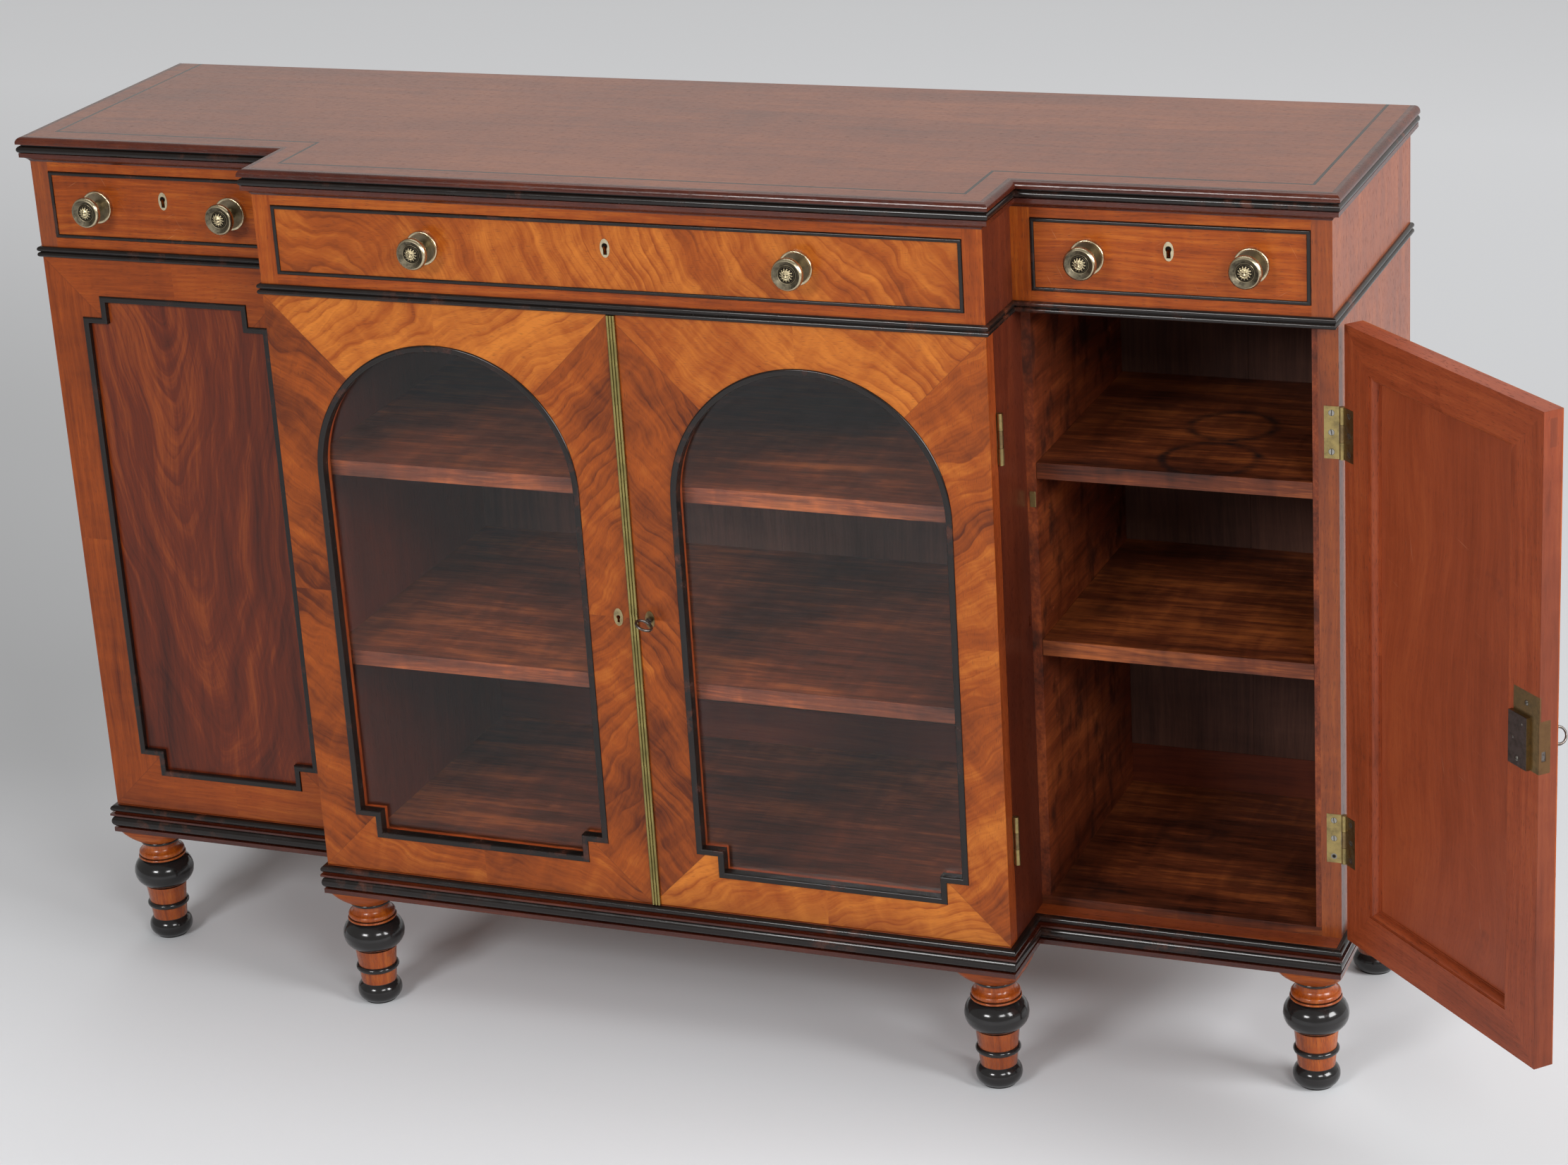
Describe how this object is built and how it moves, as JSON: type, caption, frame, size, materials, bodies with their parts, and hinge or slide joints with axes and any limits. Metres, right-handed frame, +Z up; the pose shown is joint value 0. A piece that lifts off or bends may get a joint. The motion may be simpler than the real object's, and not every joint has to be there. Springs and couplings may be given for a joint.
{
  "type": "breakfront side cabinet",
  "caption": "Breakfront side cabinet with frieze drawers over arched glazed doors and panelled wing doors, on turned feet with ebonised mouldings.",
  "frame": {"origin": "on the floor, under the middle of the whole outline with the right wing door open as stored", "axes": "+X across the front to the right, +Y from the front to the back, +Z up"},
  "size_m": [1.6162, 0.5104, 0.9201],
  "materials": {
    "mahogany": "french polished",
    "figured_mahogany": "flame-figured veneer, french polished",
    "ebonised_wood": "black stained, polished",
    "secondary_wood": "plain, waxed",
    "brass": "antique, worn to bright on the rims",
    "glass": "old polished sheet"
  },
  "bodies": {
    "case": {"back_boards": "secondary_wood", "back_rail": "secondary_wood", "base_beads": "ebonised_wood", "base_moulding": "mahogany", "case_side_left": "mahogany", "case_side_right": "mahogany", "cornice_bead": "ebonised_wood", "cornice_moulding": "mahogany", "divider_left": "mahogany", "divider_right": "mahogany", "drawer_runners": "secondary_wood", "dust_boards": "secondary_wood", "feet": "mahogany", "floor_boards": "secondary_wood", "foot_blocks": "mahogany", "frieze_rails": "mahogany", "frieze_stiles": "mahogany", "hinge_leaves_case": "brass", "hinge_pins": "brass", "plinth_frame": "secondary_wood", "shelf_pegs": "secondary_wood", "shelves_centre": "mahogany", "shelves_wings": "mahogany", "string_moulding": "ebonised_wood", "top_board": "mahogany", "top_inlay": "ebonised_wood", "wing_linings": "secondary_wood"},
    "key_wing_right": {"door_wing_right_key": "brass"},
    "bolt_wing_right": {"door_wing_right_bolt": "brass"},
    "key_centre_right": {"door_centre_right_key": "brass"},
    "bolt_centre_right": {"door_centre_right_bolt": "brass"},
    "door_wing_left": {"door_wing_left_bead": "ebonised_wood", "door_wing_left_frame": "figured_mahogany", "door_wing_left_hinge_leaves": "brass", "door_wing_left_panel": "figured_mahogany"},
    "door_wing_right": {"door_wing_right_bead": "ebonised_wood", "door_wing_right_brass": "brass", "door_wing_right_frame": "figured_mahogany", "door_wing_right_panel": "figured_mahogany"},
    "door_centre_left": {"door_centre_left_bead": "ebonised_wood", "door_centre_left_brass": "brass", "door_centre_left_frame": "figured_mahogany", "door_centre_left_glass": "glass"},
    "door_centre_right": {"door_centre_right_bead": "ebonised_wood", "door_centre_right_brass": "brass", "door_centre_right_frame": "figured_mahogany", "door_centre_right_glass": "glass", "door_centre_right_strip": "brass"},
    "drawer_left": {"drawer_left_box": "secondary_wood", "drawer_left_brass": "brass", "drawer_left_cockbead": "ebonised_wood", "drawer_left_front": "mahogany"},
    "drawer_centre": {"drawer_centre_box": "secondary_wood", "drawer_centre_brass": "brass", "drawer_centre_cockbead": "ebonised_wood", "drawer_centre_front": "figured_mahogany"},
    "drawer_right": {"drawer_right_box": "secondary_wood", "drawer_right_brass": "brass", "drawer_right_cockbead": "ebonised_wood", "drawer_right_front": "mahogany"}
  },
  "joints": [
    {"name": "drawer_left_slide", "type": "slide", "parent": "case", "child": "drawer_left", "axis": [0, -1, 0], "range_m": [0, 0.2]},
    {"name": "drawer_centre_slide", "type": "slide", "parent": "case", "child": "drawer_centre", "axis": [0, -1, 0], "range_m": [0, 0.25]},
    {"name": "drawer_right_slide", "type": "slide", "parent": "case", "child": "drawer_right", "axis": [0, -1, 0], "range_m": [0, 0.2]},
    {"name": "door_wing_left_hinge", "type": "hinge", "parent": "case", "child": "door_wing_left", "pos_m": [-0.80189, -0.04434, 0.48], "axis": [0, 0, -1], "range_deg": [0, 170]},
    {"name": "door_wing_right_hinge", "type": "hinge", "parent": "case", "child": "door_wing_right", "pos_m": [0.56671, -0.04434, 0.48], "axis": [0, 0, 1], "range_deg": [-136.5, 33.5]},
    {"name": "door_centre_left_hinge", "type": "hinge", "parent": "case", "child": "door_centre_left", "pos_m": [-0.49789, -0.12434, 0.48], "axis": [0, 0, -1], "range_deg": [0, 100]},
    {"name": "door_centre_right_hinge", "type": "hinge", "parent": "case", "child": "door_centre_right", "pos_m": [0.26271, -0.12434, 0.48], "axis": [0, 0, 1], "range_deg": [0, 100]},
    {"name": "key_wing_right_turn", "type": "hinge", "parent": "door_wing_right", "child": "key_wing_right", "pos_m": [0.78814, -0.2262, 0.48], "axis": [-0.6884, -0.7254, 0], "range_deg": [0, 180]},
    {"name": "bolt_wing_right_slide", "type": "slide", "parent": "door_wing_right", "child": "bolt_wing_right", "axis": [0.7254, -0.6884, 0], "range_m": [0, 0.005]},
    {"name": "key_centre_right_turn", "type": "hinge", "parent": "door_centre_right", "child": "key_centre_right", "pos_m": [-0.10069, -0.14484, 0.48], "axis": [0, 1, 0], "range_deg": [0, 180]},
    {"name": "bolt_centre_right_slide", "type": "slide", "parent": "door_centre_right", "child": "bolt_centre_right", "axis": [-1, 0, 0], "range_m": [0, 0.005]}
  ],
  "couplings": [
    {"joint": "key_wing_right_turn", "follows": "bolt_wing_right_slide", "rad_per_m": 628.32},
    {"joint": "key_centre_right_turn", "follows": "bolt_centre_right_slide", "rad_per_m": 628.32}
  ]
}
